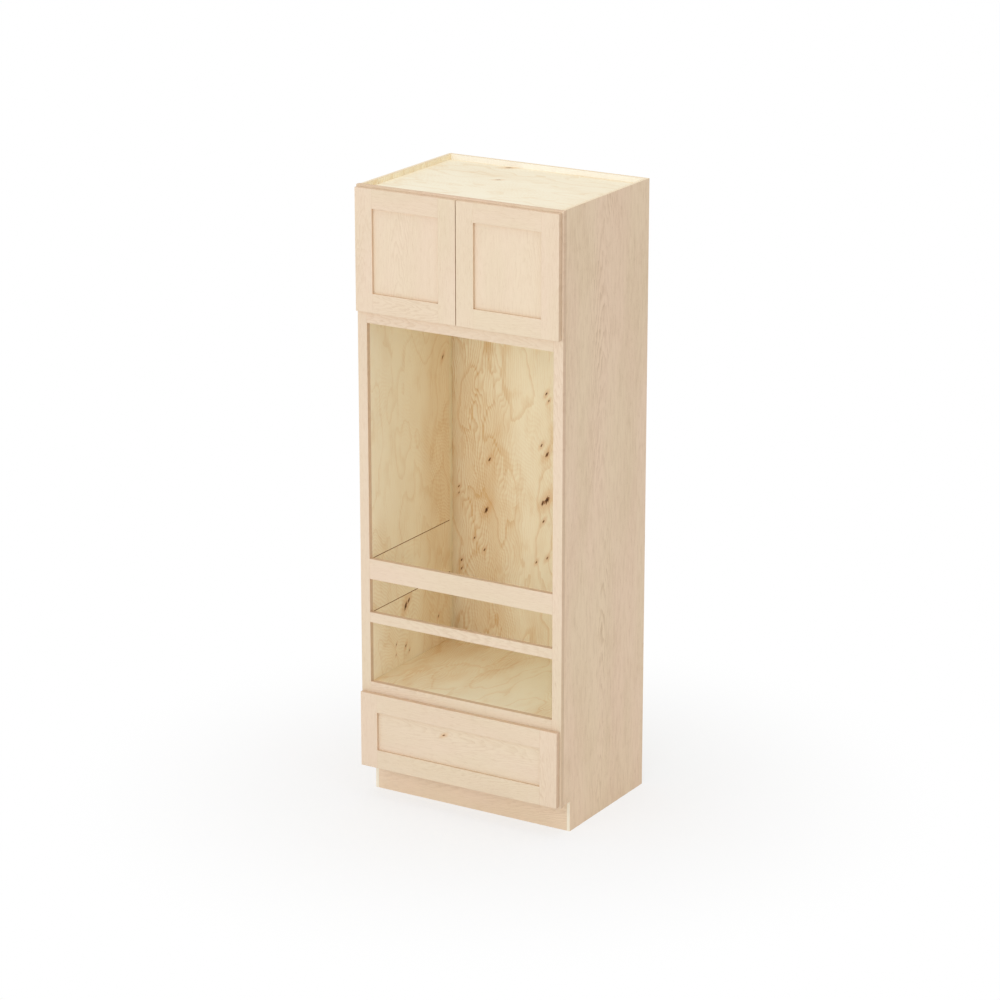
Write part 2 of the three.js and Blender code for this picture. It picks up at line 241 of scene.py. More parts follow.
def light_room():
    world = bpy.data.worlds.new("white room")
    bpy.context.scene.world = world
    world.use_nodes = True
    world.node_tree.nodes.clear()
    nodes = Nodes(world.node_tree)
    level = nodes.seen() * (1.0 - ROOM_LIGHT) + ROOM_LIGHT
    sky = nodes.node("ShaderNodeBackground", None, {"Color": WHITE, "Strength": level})
    nodes.node("ShaderNodeOutputWorld", None, {"Surface": sky})


def soft_box(name, place, aim, size, watts):
    light = bpy.data.lights.new(name, "AREA")
    light.shape = "SQUARE"
    light.size = size
    light.energy = watts
    lamp = place_object(name, light)
    lamp.location = place
    lamp.rotation_mode = "QUATERNION"
    lamp.rotation_quaternion = (Vector(aim) - Vector(place)).to_track_quat("-Z", "Y")


light_room()
soft_box("left front box", (-1.8, -6.4, 3.0), FRONT_AIM, FRONT_SIZE, watts=44.0)
soft_box("right front box", (3.2, -5.6, 1.8), FRONT_AIM, FRONT_SIZE, watts=34.0)
soft_box("high front box", (1.2, -5.6, 3.6), FRONT_AIM, FRONT_SIZE, watts=32.0)
soft_box("top box", (0.2, -0.4, 5.6), TOP_AIM, TOP_SIZE, watts=33.0)

# %% [markdown]
# The floor is one wide disc. Near the unit it is a plain pale surface that takes the shadow, and
# further out it turns into the same white as the background, so that no horizon line shows. Two
# thirds of that white are mixed in near the unit too, which keeps the shadow light.

# %% Lay the floor
FLOOR_RADIUS = 40.0
FLOOR_SIDES = 96
FLOOR_PAINT = (0.95, 0.95, 0.95, 1.0)
SHADOW_REACH = (0.45, 1.7)
NEAR_GLOW = 0.66


def lay_floor():
    form = bmesh.new()
    bmesh.ops.create_circle(form, cap_ends=True, segments=FLOOR_SIDES, radius=FLOOR_RADIUS)
    mesh = bpy.data.meshes.new("floor")
    form.to_mesh(mesh)
    form.free()
    material = new_material("floor white")
    nodes = Nodes(material.node_tree)
    place = nodes.node("ShaderNodeTexCoord", out="Object")
    away = nodes.vector("LENGTH", place, out="Value")
    far = nodes.rise(away, *SHADOW_REACH) * (1.0 - NEAR_GLOW) + NEAR_GLOW
    plain = nodes.node("ShaderNodeBsdfDiffuse", None, {"Color": FLOOR_PAINT})
    white = nodes.node("ShaderNodeEmission", None, {"Color": WHITE, "Strength": 1.0})
    both = nodes.node("ShaderNodeMixShader", None, {0: far * nodes.seen(), 1: plain, 2: white})
    nodes.node("ShaderNodeOutputMaterial", None, {"Surface": both})
    mesh.materials.append(material)
    place_object("floor", mesh)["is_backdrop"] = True


lay_floor()
print("room lit and floor laid")

# %% [markdown]
# ## How wood knows its own board
#
# A pattern on Object coordinates would run straight through from one board to the next. So every
# board carries two attributes: `grain`, each point's place in metres along the grain, across it
# and through the thickness, counted from the middle of the board, and `board`, a number of its own
# that moves the pattern along. One finish then serves many boards and no two come out alike.
#
# All wood here is bare: it hardly shines, and its fibres and pores stand out by a tenth of a
# millimetre, which a Bump node shows well enough.

# %% The base of every wood finish
BOARD_SHIFT = (17.0, 5.3, 2.9)
BARE_GLOSS = 0.28
FIBRE_RELIEF = 0.35


class Wood(Nodes):
    """A material whose patterns follow the board: self.grain, self.along, self.across, self.depth."""

    def __init__(self, name):
        self.material = new_material(name)
        super().__init__(self.material.node_tree)
        self.grain = self.node("ShaderNodeAttribute", {"attribute_name": "grain"}, out="Vector")
        self.board = self.node("ShaderNodeAttribute", {"attribute_name": "board"}, out="Fac")
        apart = self.node("ShaderNodeSeparateXYZ", None, {0: self.grain}).socket.node
        self.along, self.across, self.depth = (Value(self, socket) for socket in apart.outputs)
        away = self.vector("SCALE", BOARD_SHIFT)
        self.tree.links.new(self.board.socket, away.socket.node.inputs["Scale"])
        self.place = self.vector("ADD", self.grain, away)

    def finish(self, colour, roughness, height, depth_mm):
        bump = {"Strength": FIBRE_RELIEF, "Distance": depth_mm * MM, "Height": height}
        relief = self.node("ShaderNodeBump", None, bump)
        sockets = {"Base Color": colour, "Roughness": roughness, "Normal": relief}
        sockets["Specular IOR Level"] = BARE_GLOSS
        shader = self.node("ShaderNodeBsdfPrincipled", None, sockets)
        self.node("ShaderNodeOutputMaterial", None, {"Surface": shader})
        return self.material


print("wood base ready")

# %% [markdown]
# ## Maple
#
# The frame, the doors' frames and the drawer's front are sanded bare maple, and the side panels
# and door panels are plywood with a sliced maple face. Both are cut nearly flat from a trunk, so
# the figure is worked out from the trunk: growth rings round a pith that lies behind the board and
# leans a little. Where the rings meet the face at a low angle they draw long arches. On top come
# fibres, longer streaks, faint curly patches and the tiny dark flecks of maple.
#
# `tone` adds all of these up, and it mixes the pale colour into the deep one. Noise is counted in
# lumps per metre along the grain, across it and through the board.

# %% Maple finish
FINE_FIBRES_MM = 0.12


def maple(name, pale, deep, ring_gap_mm=2.6, arches=0.6, streak=(24.0, 190.0), streaky=0.5, knots=()):
    """arches and streaky are strengths. streak is how many streaks a metre has along and across."""
    wood = Wood(name)
    pith_aside = (wood.board - 0.5) * 0.2
    sway = wood.noise(wood.place, (0.8, 3.0, 0.0), detail=1.0) * 0.09
    waver = wood.noise(wood.place, (13.0, 55.0, 0.0), detail=3.0) * 0.009
    side = wood.across + pith_aside + sway
    lean = wood.along * 0.05 + 0.1
    radius = (side * side + lean * lean).math("SQRT") + waver
    turn = (radius / (ring_gap_mm * MM)).math("FRACT")
    late = wood.rise(turn, 0.3, 0.9) * wood.rise(turn, 1.0, 0.9)
    patchy = wood.rise(wood.noise(wood.place, (2.2, 7.0, 7.0), detail=2.0), -0.16, 0.16)
    fibres = wood.noise(wood.place, (26.0, 900.0, 900.0), detail=2.0, roughness=0.6)
    streaks = wood.noise(wood.place, (*streak, streak[1]), detail=2.0, roughness=0.6)
    flecks = wood.rise(wood.noise(wood.place, (70.0, 500.0, 500.0), detail=1.0), 0.19, 0.26)
    curl = wood.rise(wood.noise(wood.place, (34.0, 90.0, 0.0), detail=3.0, roughness=0.65), 0.02, 0.2)
    tone = late * (patchy * 0.5 + 0.1) * arches + curl * 0.2 + flecks * 0.3 + 0.03
    tone = tone + fibres * 0.5 + streaks * streaky
    colour = wood.mix(tone, srgb(*pale), srgb(*deep))
    warmth = wood.rise(wood.noise(wood.place, (1.6, 6.0, 6.0), detail=2.0), -0.22, 0.22)
    tint = wood.mix(warmth, srgb(252, 254, 250), srgb(255, 253, 254))
    colour = wood.mix(1.0, colour, tint, blend="MULTIPLY")
    if knots:
        colour = draw_knots(wood, colour, knots)
    return wood.finish(colour, 0.6 + fibres * 0.25, fibres + late * 0.3 - flecks * 0.4, FINE_FIBRES_MM)


KNOT_LEAN = 0.45
KNOT_STRETCH = 0.24


def draw_knots(wood, colour, knots):
    """Each has a dark ragged core that leans over, a brown ring and an orange halo along the grain."""
    near = None
    for along, across, size in knots:
        up = wood.along - along * MM
        aside = wood.across - across * MM - up * KNOT_LEAN
        reach = (up * up * KNOT_STRETCH + aside * aside).math("SQRT") / (size * MM)
        near = reach if near is None else near.math("MINIMUM", reach)
    ragged = near + wood.noise(wood.place, (120.0, 240.0, 0.0), detail=3.0, roughness=0.6) * 1.3
    colour = wood.mix(wood.rise(ragged, 3.2, 0.6) * 0.4, colour, srgb(218, 164, 94))
    colour = wood.mix(wood.rise(ragged, 0.8, 0.4) * 0.85, colour, srgb(160, 98, 46))
    return wood.mix(wood.rise(ragged, 0.55, 0.25) * 0.9, colour, srgb(72, 44, 22))


FACE_MAPLE = (236, 216, 192)
DEEP_MAPLE = (214, 187, 157)
# The edges and ends of the maple sticks come out darker, partly as sanded edge grain does and partly as
# painted shade.
EDGE_AND_SHADE_MAPLE = (222, 194, 165)
frame_maple = maple("frame maple", FACE_MAPLE, DEEP_MAPLE)
edge_and_shade_maple = maple("frame maple edge and shade", EDGE_AND_SHADE_MAPLE, (200, 166, 134), arches=0.4)
side_maple = maple(
    "sliced maple", (241, 216, 188), (208, 176, 142), ring_gap_mm=4.6, arches=0.85,
    streak=(13.0, 75.0), streaky=0.85,
)
# The door panels' maple is a little paler than the frame's, as painted light against the shade of their
# recess.
panel_maple = maple(
    "panel maple", (238, 218, 194), (216, 190, 161), ring_gap_mm=3.2, arches=0.55, streak=(16.0, 110.0)
)
# The toe board's maple is paler than the frame's, as painted light against the shade under the drawer front.
toe_maple = maple("toe board maple", (245, 222, 197), (222, 194, 164), ring_gap_mm=3.2, arches=0.8)
print("maple mixed")

# %% [markdown]
# ## Rotary-cut plywood
#
# The boards inside are plywood whose face was peeled from the log as one endless sheet. The knife
# follows the rings for long stretches, so they come out as wide wandering contour lines, as on a
# map. That is how the finish makes them too: a smooth hilly height over the board, and a line
# wherever it passes a whole number. Where the hills are steep the lines lie close and straight.
# Fine slanted ripples lie over part of the board, and knots stand where the photograph has them.
# Towards a cavity's corner a close-ringed heart comes in, and there the board is also darkened as painted
# shade.

# %% Rotary plywood finish
WHITE_PLY = (255, 253, 244)


def rotary(name, pale, tan, knots=(), heart_and_shade_span=None, lively=1.0, rippled=0.12, fine=1.0, clean_above=None):
    """The span after knots is where, across the board in metres, the close-ringed heart fades in and the
    board is darkened as painted shade. lively and rippled are strengths, fine makes the ripples closer, and
    above clean_above it is white."""
    wood = Wood(name)
    hills = wood.noise(wood.place, (1.0, 2.3, 0.0), detail=1.0)
    folds = wood.noise(wood.place, (4.2, 8.5, 0.0), detail=1.5)
    ripple = wood.noise(wood.place, (13.0, 36.0, 0.0), detail=2.0)
    wide = (hills * 9.0 + folds * 3.2 + ripple * 0.5).math("FRACT")
    loops = wood.rise(wide, 0.72, 0.95) * wood.rise(wide, 1.0, 0.955)
    narrow = (wood.across * 120.0 + hills * 30.0 + folds * 13.0 + ripple * 2.2).math("FRACT")
    lines = wood.rise(narrow, 0.2, 0.85) * wood.rise(narrow, 1.0, 0.85)
    slanted = (wood.along * 58.0 + wood.across * 36.0 + hills * 26.0 + folds * 11.0) * fine
    slanted = (slanted + ripple * 1.5).math("FRACT")
    rippling = wood.rise(wood.noise(wood.place, (1.7, 3.6, 0.0), detail=1.0), -0.04, 0.14)
    waves = wood.rise(slanted, 0.1, 0.7) * wood.rise(slanted, 1.0, 0.7) * rippling
    busy = wood.rise(wood.noise(wood.place, (1.3, 4.5, 0.0), detail=2.0), -0.14, 0.14)
    heart_and_corner_shade = 0.0
    if heart_and_shade_span:
        heart_and_corner_shade = wood.rise(wood.across + folds * 0.12, *heart_and_shade_span)
        busy = busy * 0.35 + heart_and_corner_shade * 0.75
    mottle = wood.rise(wood.noise(wood.place, (4.0, 11.0, 0.0), detail=3.0), -0.08, 0.3)
    cream = wood.rise(wood.noise(wood.place, (1.8, 4.0, 0.0), detail=2.0), 0.0, 0.25)
    fibres = wood.noise(wood.place, (22.0, 700.0, 700.0), detail=2.0, roughness=0.6)
    stain = wood.rise(wood.noise(wood.place, (9.0, 22.0, 0.0), detail=4.0, roughness=0.6), 0.02, 0.26)
    tone = loops * 0.32 + lines * (busy * 0.36 + 0.06) + waves * rippled + mottle * 0.3 + stain * 0.3
    # The heart's share here darkens the board towards the cavity's corner: painted shade.
    tone = (tone + fibres * 0.45 - cream * 0.24) * lively + heart_and_corner_shade * 0.28
    colour = wood.mix(tone, srgb(*pale), srgb(*tan))
    if clean_above:
        clean = wood.rise(wood.along, clean_above - 0.01, clean_above)
        colour = wood.mix(clean * 0.85, colour, srgb(*WHITE_PLY))
    if knots:
        colour = draw_knots(wood, colour, knots)
    return wood.finish(colour, 0.62 + fibres * 0.25, fibres + lines * 0.3, FINE_FIBRES_MM)


def knots_on(node, places, grain, across):
    """Places are (along, across, size) in the unit's millimetres, and come out from the board's middle."""
    low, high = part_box(node)
    middle = (low + high) / 2 / MM
    return [(along - middle[grain], aside - middle[across], size) for along, aside, size in places]


BACK_KNOTS = [
    (957, -252, 10.0), (1037, 8, 13.0), (1024, -9, 9.0), (953, -6, 5.0), (814, 10, 5.0),
    (790, -36, 4.2), (743, -361, 5.0), (711, -361, 5.0), (1031, -372, 3.6), (1005, -372, 3.6),
    (840, -304, 4.0), (801, -260, 4.6), (1155, -238, 6.5), (1212, 8, 8.0), (1243, -16, 5.0),
    (1442, 4, 5.0), (1416, 14, 3.6),
]
LOW_LINER_KNOTS = [
    (664, -56, 13.0), (680, -35, 8.0), (509, -57, 5.0), (533, -121, 3.0),
    (493, -124, 2.4), (484, -33, 2.8), (557, 170, 5.0),
]
HIGH_LINER_KNOTS = [(1549, 208, 6.5)]
TOP_KNOTS = [(-143, 282, 9.0), (-72, 91, 6.0)]
PALE_PLY = (253, 243, 215)
TAN_PLY = (226, 191, 139)
back_knots = knots_on("back_panel", BACK_KNOTS, Z, X)
# Towards its left corner the back gets its close-ringed heart and is darkened there as painted shade.
back_ply = rotary(
    "back panel ply", PALE_PLY, TAN_PLY, back_knots, heart_and_shade_span=(-0.08, -0.22), clean_above=1.05
)
WALL_PLY = (255, 244, 216)
# Towards the back corner each wall gets its close-ringed heart and is darkened there as painted shade.
wall = {"heart_and_shade_span": (0.0, 0.18), "lively": 0.6, "rippled": 0.36}
low_knots = knots_on("left_liner_lower", LOW_LINER_KNOTS, Z, Y)
high_knots = knots_on("left_liner_upper", HIGH_LINER_KNOTS, Z, Y)
liner_ply = rotary("liner ply", WALL_PLY, TAN_PLY, **wall)
low_liner_ply = rotary("low liner ply", WALL_PLY, TAN_PLY, low_knots, **wall)
high_liner_ply = rotary("high liner ply", WALL_PLY, TAN_PLY, high_knots, **wall)
top_knots = knots_on("top_panel", TOP_KNOTS, X, Y)
top_ply = rotary("top panel ply", (249, 240, 216), TAN_PLY, top_knots, lively=0.6)
shelf_ply = rotary("shelf ply", (253, 243, 214), (230, 197, 144), lively=0.9)
# The deck's ply is paler than the other plies, as painted light against the shade of the low opening.
# Towards its left side, at the corner with the wall, the deck is darkened as painted shade.
deck_ply = rotary(
    "deck ply", (255, 250, 226), (228, 192, 138), heart_and_shade_span=(0.1, -0.34), lively=0.65, rippled=0.85, fine=1.9
)
drawer_ply = rotary("drawer ply", (246, 234, 206), TAN_PLY, lively=0.7)
print("plywood mixed")

# %% [markdown]
# ## Cut edges of plywood
#
# A sawn edge shows the plies in turn, one along the grain and one on end, with a thin line of glue
# between them. The stripes only need the place through the thickness, which every board knows.

# %% Ply edge finish
PLY_MM = 1.8
MIDDLE_PLY = 100.5
SAWN_MM = 0.15


def ply_edge(name, pale, end, glue_line):
    wood = Wood(name)
    layer = wood.depth / (PLY_MM * MM) + MIDDLE_PLY
    end_grain = wood.rise((layer / 2.0).math("FRACT").math("SUBTRACT", 0.5), -0.03, 0.03)
    glue = wood.rise((layer.math("FRACT") - 0.5).math("ABSOLUTE"), 0.43, 0.5)
    fibres = wood.noise(wood.place, (180.0, 180.0, 700.0), detail=2.0)
    colour = wood.mix(end_grain * 0.55 + fibres * 0.5, srgb(*pale), srgb(*end))
    colour = wood.mix(glue * 0.4, colour, srgb(*glue_line))
    return wood.finish(colour, 0.7 + fibres * 0.2, fibres - glue * 0.5, SAWN_MM)


edge_ply = ply_edge("ply edge", (250, 236, 210), (224, 196, 154), (176, 138, 96))
pale_edge_ply = ply_edge("pale ply edge", (255, 249, 232), (243, 226, 196), (208, 178, 138))
# Painted shade: this dark brown stands for the shade inside the joints between the liners.
joint_shade_ply = ply_edge("joint-shaded ply edge", (164, 116, 62), (144, 98, 50), (104, 70, 36))
print("ply edges mixed")

# %% [markdown]
# ## Metal and rubber
#
# The slides are rolled strip with bright zinc on it, which shows faint lines along the strip and
# cloudy patches. The hinges are pressed steel with satin nickel. The bumpers are pale grey rubber.

# %% Hardware finishes
def plated(name, bright, dull, gloss, strip):
    """strip is how many rolled lines a metre has along each axis."""
    material = new_material(name)
    nodes = Nodes(material.node_tree)
    place = nodes.node("ShaderNodeTexCoord", out="Object")
    cloud = nodes.rise(nodes.noise(place, (70.0, 70.0, 70.0), detail=3.0), -0.2, 0.2)
    rolled = nodes.noise(place, strip, detail=2.0)
    colour = nodes.mix(cloud * 0.7 + rolled * 0.5, srgb(*bright), srgb(*dull))
    relief = nodes.node("ShaderNodeBump", None, {"Strength": 0.2, "Distance": 0.05 * MM, "Height": rolled})
    sockets = {"Base Color": colour, "Roughness": gloss + cloud * 0.1 + rolled * 0.12, "Normal": relief}
    sockets["Metallic"] = 1.0
    shader = nodes.node("ShaderNodeBsdfPrincipled", None, sockets)
    nodes.node("ShaderNodeOutputMaterial", None, {"Surface": shader})
    return material


def bumper_rubber():
    material = new_material("bumper rubber")
    nodes = Nodes(material.node_tree)
    place = nodes.node("ShaderNodeTexCoord", out="Object")
    haze = nodes.noise(place, (400.0, 400.0, 400.0), detail=2.0)
    colour = nodes.mix(haze + 0.5, srgb(222, 222, 216), srgb(204, 204, 198))
    sockets = {"Base Color": colour, "Roughness": 0.45 + haze * 0.1}
    shader = nodes.node("ShaderNodeBsdfPrincipled", None, sockets)
    nodes.node("ShaderNodeOutputMaterial", None, {"Surface": shader})
    return material


zinc = plated("bright zinc", (202, 206, 212), (168, 172, 178), gloss=0.26, strip=(900.0, 8.0, 900.0))
nickel = plated("satin nickel", (208, 205, 198), (178, 175, 168), gloss=0.24, strip=(300.0, 300.0, 300.0))
rubber = bumper_rubber()
print("hardware finishes ready")

# %% [markdown]
# ## Boards
#
# Every board starts as a copy of its solid. The copy's loose triangles are welded and its flat
# faces joined again, and then the outer edges are eased, as sandpaper does: a knife-sharp edge
# catches no light and looks drawn. Each face then gets the finish of the side it is on, since a
# plywood board has another veneer inside than outside and plies round its edges.

# %% Turn a solid into a clean mesh with eased edges
EASED_MM = 0.5
WELD_MM = 0.001
SHARP = math.radians(30)
LEVEL = math.radians(0.5)


def eased_form(node, eased_mm):
    form = bmesh.new()
    form.from_mesh(frame["nodes"][node].data)
    bmesh.ops.remove_doubles(form, verts=form.verts, dist=WELD_MM * MM)
    bmesh.ops.dissolve_limit(form, angle_limit=LEVEL, verts=form.verts, edges=form.edges)
    outer = [edge for edge in form.edges if edge.is_convex and edge.calc_face_angle(0.0) > SHARP]
    bmesh.ops.bevel(
        form, geom=outer, offset=eased_mm * MM, offset_type="OFFSET", segments=2, profile=0.6,
        affect="EDGES", clamp_overlap=True,
    )
    return form


def stand_for(node, form, name, materials):
    """The finished mesh takes the place of a solid and rides on the same body."""
    mesh = bpy.data.meshes.new(name)
    form.to_mesh(mesh)
    form.free()
    for material in materials:
        mesh.materials.append(material)
    piece = place_object(name, mesh)
    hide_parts(node)
    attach(piece, body_of[node])
    return piece


# %% [markdown]
# A face belongs to a side of the board by the way it looks. The eased corners at a board's ends
# look along the grain by a quarter or more, and they take the end's finish.

# %% Dress one board
FACE_TURN = 0.9
END_TURN = 0.25
OUTSIDE, INSIDE, EDGE, END = range(4)
board_numbers = random.Random(33)


def board(node, grain, thick, outside, inside=None, edge=None, end=None, eased_mm=EASED_MM, sinks=()):
    """grain and thick are axes. outside faces the lower end of the thick axis, inside the upper."""
    form = eased_form(node, eased_mm)
    if sinks:
        form = countersunk(form, sinks)
    low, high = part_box(node)
    middle = (low + high) / 2
    across = 3 - grain - thick
    inside = inside or outside
    edge = edge or outside
    for face in form.faces:
        turned = face.normal[thick]
        face.material_index = EDGE
        if abs(turned) > FACE_TURN:
            face.material_index = OUTSIDE if turned < 0 else INSIDE
        if abs(face.normal[grain]) > END_TURN:
            face.material_index = END
    piece = stand_for(node, form, node + "_board", [outside, inside, edge, end or edge])
    mesh = piece.data
    place = mesh.attributes.new("grain", "FLOAT_VECTOR", "POINT")
    values = []
    for vertex in mesh.vertices:
        offset = vertex.co - middle
        values.extend((offset[grain], offset[across], offset[thick]))
    place.data.foreach_set("vector", values)
    number = mesh.attributes.new("board", "FLOAT", "POINT")
    number.data.foreach_set("value", [board_numbers.random()] * len(mesh.vertices))
    return piece


print("boards can be dressed")

# %% [markdown]
# ## The carcass
#
# Two sides, a back, a top panel, a cupboard floor, the deck under the oven, a base panel and the
# toe board. The sides show maple outside and plain plywood inside, and their bare front edges show
# beside the toe board. Three liners on each side bring the cavity walls flush with the frame. Their
# ends are painted dark brown as the shade in the joints, and eased more than the rest, so each joint
# shows as a thin line.
#
# The back is screwed to the rear edges of the level boards. Flush screws need countersinks, and a
# Boolean modifier cuts them all at once with a mesh of cones.

# %% Countersink the back panel
TO_THE_BACK = (0, 1, 0)
HEAD_MM = 4.0
HEAD_DEPTH_MM = 0.5
SINK_MM = 4.7
SINK_DEPTH_MM = 3.0
SINK_PAST_MM = 0.3
SINK_SIDES = 24
BACK_SCREWS_X = (-0.36, -0.18, 0.0, 0.18, 0.36)


def countersunk(form, places):
    """Cuts a cone into the form at each (point, facing) pair, with its wide end at the face."""
    cones = bmesh.new()
    for point, way in places:
        out = Vector(way)
        middle = point + out * (SINK_PAST_MM - SINK_DEPTH_MM / 2) * MM
        place = Matrix.Translation(middle) @ out.to_track_quat("Z", "Y").to_matrix().to_4x4()
        bmesh.ops.create_cone(
            cones, cap_ends=True, segments=SINK_SIDES, radius1=SINK_MM / 2 * MM, radius2=SINK_MM * MM,
            depth=SINK_DEPTH_MM * MM, matrix=place,
        )
    pieces = []
    for name, part in (("board to cut", form), ("cones", cones)):
        mesh = bpy.data.meshes.new(name)
        part.to_mesh(mesh)
        part.free()
        pieces.append(place_object(name, mesh))
    cut = pieces[0].modifiers.new("sinks", "BOOLEAN")
    cut.operation = "DIFFERENCE"
    cut.object = pieces[1]
    made = bpy.data.meshes.new_from_object(
        pieces[0].evaluated_get(bpy.context.evaluated_depsgraph_get())
    )
    for piece in pieces:
        bpy.data.objects.remove(piece)
    whole = bmesh.new()
    whole.from_mesh(made)
    return whole


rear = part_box("back_panel")[1].y
back_screws = []
for shelf in ("base_panel", "oven_deck", "cupboard_floor", "top_panel"):
    low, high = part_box(shelf)
    level = (low.z + high.z) / 2
    back_screws += [(Vector((x, rear, level)), TO_THE_BACK) for x in BACK_SCREWS_X]
print(len(back_screws), "screws hold the back")

# %% Dress the carcass
SIDES = {"left": -1, "right": 1}
LINER_EASED_MM = 1.3
for side, sign in SIDES.items():
    faces = (side_maple, shelf_ply) if sign < 0 else (shelf_ply, side_maple)
    board(f"{side}_side_panel", Z, X, *faces, edge=pale_edge_ply, end=edge_ply)
    veneers = (low_liner_ply, liner_ply, high_liner_ply) if sign < 0 else (liner_ply,) * 3
    for level, veneer in zip(("lower", "middle", "upper"), veneers):
        board(f"{side}_liner_{level}", Z, X, veneer, end=joint_shade_ply, eased_mm=LINER_EASED_MM)
board("back_panel", Z, Y, back_ply, shelf_ply, edge=edge_ply, sinks=back_screws)
board("top_panel", X, Z, shelf_ply, top_ply, edge=edge_ply)
board("cupboard_floor", X, Z, shelf_ply, edge=edge_ply)
board("oven_deck", Y, Z, shelf_ply, deck_ply, edge=edge_ply)
board("base_panel", X, Z, shelf_ply, edge=edge_ply)
board("toe_board", X, Y, toe_maple, shelf_ply, edge=edge_ply)
print("carcass dressed")

# %% [markdown]
# ## Frame, doors and drawer
#
# The face frame, and the frames of the doors and the drawer's front, are sticks of solid maple:
# stiles with the grain up and rails with it across. Turning the grain at every joint is what makes a
# frame look joined instead of cut from a sheet. The flat panels in them are sliced maple, with the
# grain up in the doors and across in the drawer's front, and the drawer's box is plywood.

# %% Dress the face frame
for side in SIDES:
    board(f"{side}_stile", Z, Y, frame_maple, edge=edge_and_shade_maple)
for rail in ("bottom_rail", "drawer_rail", "middle_rail", "oven_rail", "cupboard_rail", "top_rail"):
    board(rail, X, Y, frame_maple, edge=edge_and_shade_maple)
print("face frame dressed")

# %% Dress the doors
for side in SIDES:
    for stile in ("hinge_stile", "lock_stile"):
        board(f"{side}_door_{stile}", Z, Y, frame_maple, edge=edge_and_shade_maple)
    for rail in ("top_rail", "bottom_rail"):
        board(f"{side}_door_{rail}", X, Y, frame_maple, edge=edge_and_shade_maple)
    board(f"{side}_door_panel", Z, Y, panel_maple)
print("doors dressed")

# %% Dress the drawer
DRAWER_KNOTS = [(-63, 302, 4.4)]
drawer_maple = maple(
    "drawer panel maple", (238, 219, 195), (217, 191, 162), ring_gap_mm=3.2, arches=0.5,
    streak=(16.0, 110.0), knots=knots_on("drawer_front_panel", DRAWER_KNOTS, X, Z),
)
for stile in ("left_stile", "right_stile"):
    board(f"drawer_front_{stile}", Z, Y, frame_maple, edge=edge_and_shade_maple)
for rail in ("top_rail", "bottom_rail"):
    board(f"drawer_front_{rail}", X, Y, frame_maple, edge=edge_and_shade_maple)
board("drawer_front_panel", X, Y, drawer_maple)
for side in SIDES:
    board(f"drawer_box_{side}_side", Y, X, drawer_ply, edge=edge_ply)
for part in ("front", "back"):
    board(f"drawer_box_{part}", X, Y, drawer_ply, edge=edge_ply)
board("drawer_box_bottom", Y, Z, drawer_ply, edge=edge_ply)
print("drawer dressed")

# %% [markdown]
# ## Hinges and slides
#
# The pressed and rolled metal parts keep the shape of their solids. Their edges are rounded a
# little more finely than the wood's, and their round faces are shaded smooth.

# %% Dress the hardware
SLIDE_EASED_MM = 0.2
HINGE_EASED_MM = 0.15


def hardware(node, material, eased_mm):
    piece = stand_for(node, eased_form(node, eased_mm), node + "_metal", [material])
    mesh = piece.data
    mesh.polygons.foreach_set("use_smooth", [True] * len(mesh.polygons))
    mesh.set_sharp_from_angle(angle=SHARP)
    return piece


for side in SIDES:
    for member in ("cabinet", "middle", "drawer"):
        hardware(f"{side}_slide_{member}_member", zinc, SLIDE_EASED_MM)
    for level in ("upper", "lower"):
        for part in ("arm", "link", "cup"):
            hardware(f"{side}_{level}_hinge_{part}", nickel, HINGE_EASED_MM)
print("hardware dressed")

# %% [markdown]
# ## Screws and bumpers
#
# Small parts that repeat are instanced by Geometry Nodes on a mesh that has one point for each.
# The point's `facing` attribute says which way its head looks. The screw's head is a low cone with
# a cross cut into it, and every one is turned by its own angle, because nobody lines them up.

# %% The tree that sets screws on points
def inputs(tree, *sockets):
    """Adds named inputs to a tree and returns them by name."""
    for name, kind in sockets:
        tree.interface.new_socket(name, in_out="INPUT", socket_type=kind)
    given = tree.nodes.new("NodeGroupInput")
    return {name: Value(Nodes(tree), given.outputs[name]) for name, _ in sockets}


def set_on_points(nodes, given, part):
    """Instances a part on the points, looking the way that each point says, and makes it real."""
    facing = nodes.node(
        "GeometryNodeInputNamedAttribute", {"data_type": "FLOAT_VECTOR"}, {"Name": "facing"}
    )
    turned = nodes.node("FunctionNodeAlignRotationToVector", {"axis": "Z"}, {"Vector": facing})
    sockets = {"Points": given["Points"], "Instance": part, "Rotation": turned}
    placed = nodes.node("GeometryNodeInstanceOnPoints", None, sockets)
    low, high = (0.0, 0.0, 0.0), (0.0, 0.0, math.pi)
    angle = nodes.node(
        "FunctionNodeRandomValue", {"data_type": "FLOAT_VECTOR"}, {0: low, 1: high, "Seed": given["Seed"]}
    )
    spun = nodes.node("GeometryNodeRotateInstances", None, {"Instances": placed, "Rotation": angle})
    real = nodes.node("GeometryNodeRealizeInstances", None, {"Geometry": spun})
    done = nodes.node("GeometryNodeSetMaterial", None, {"Geometry": real, "Material": given["Finish"]})
    nodes.node("NodeGroupOutput", None, {0: done})


COMMON_INPUTS = (
    ("Points", "NodeSocketGeometry"), ("Radius", "NodeSocketFloat"), ("Height", "NodeSocketFloat"),
    ("Seed", "NodeSocketInt"), ("Finish", "NodeSocketMaterial"),
)


def new_tree(name):
    tree = bpy.data.node_groups.new(name, "GeometryNodeTree")
    given = inputs(tree, *COMMON_INPUTS)
    tree.interface.new_socket("Geometry", in_out="OUTPUT", socket_type="NodeSocketGeometry")
    return tree, Nodes(tree), given


HEAD_SIDES = 20
SLOT_WIDTH = 0.24


